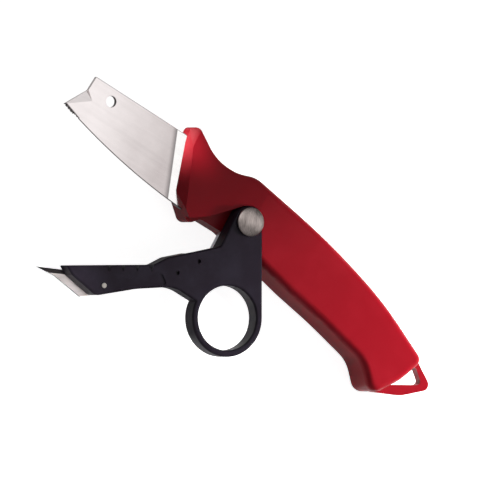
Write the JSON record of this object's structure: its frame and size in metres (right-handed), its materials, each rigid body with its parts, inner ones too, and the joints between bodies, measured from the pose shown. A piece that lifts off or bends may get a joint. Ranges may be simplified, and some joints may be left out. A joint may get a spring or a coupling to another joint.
{
  "type": "cable stripping knife",
  "caption": "Cable stripping knife with a moulded handle, a fixed hook-ended blade and a sprung finger lever that carries a second blade on one pivot.",
  "frame": {"origin": "on the pivot axis, at the flat back of the handle on which the knife lies", "axes": "+X along the knife towards the butt, the blade points to -X, +Y towards the thumb side, +Z out of the front with the domed pivot button"},
  "size_m": [0.1866, 0.0805, 0.0206],
  "materials": {
    "handle_moulding": "satin red moulding with a faint mould grain",
    "lever_plastic": "satin blue-black moulding",
    "blade_steel": "ground and polished",
    "button_steel": "spun finish, satin",
    "fastener_steel": "plain zinc plated",
    "bearing_brass": "turned",
    "washer_plastic": "natural acetal",
    "spring_steel": "blank spring strip"
  },
  "bodies": {
    "handle": {"handle_front_shell": "handle_moulding", "handle_back_shell": "handle_moulding", "fixed_blade": "blade_steel", "tang_pins": "fastener_steel", "handle_screws": "fastener_steel", "screw_inserts": "bearing_brass", "pivot_sleeve": "bearing_brass", "pivot_bolt": "button_steel", "pivot_nut": "button_steel", "thrust_washer": "washer_plastic", "head_washer": "washer_plastic", "return_spring": "spring_steel", "spring_anchor_pin": "fastener_steel"},
    "lever": {"finger_lever": "lever_plastic", "lever_bush": "bearing_brass", "lower_blade": "blade_steel", "lower_blade_rivet": "fastener_steel", "rear_blade_pin": "fastener_steel", "spring_catch_pin": "fastener_steel"}
  },
  "joints": [
    {"name": "lever_pivot", "type": "hinge", "parent": "handle", "child": "lever", "pos_m": [0, 0, 0], "axis": [0, 0, -1], "range_deg": [0, 44], "stiffness_Nm_per_rad": 0.12, "springref_deg": -28.65, "deforming": ["return_spring"]}
  ]
}
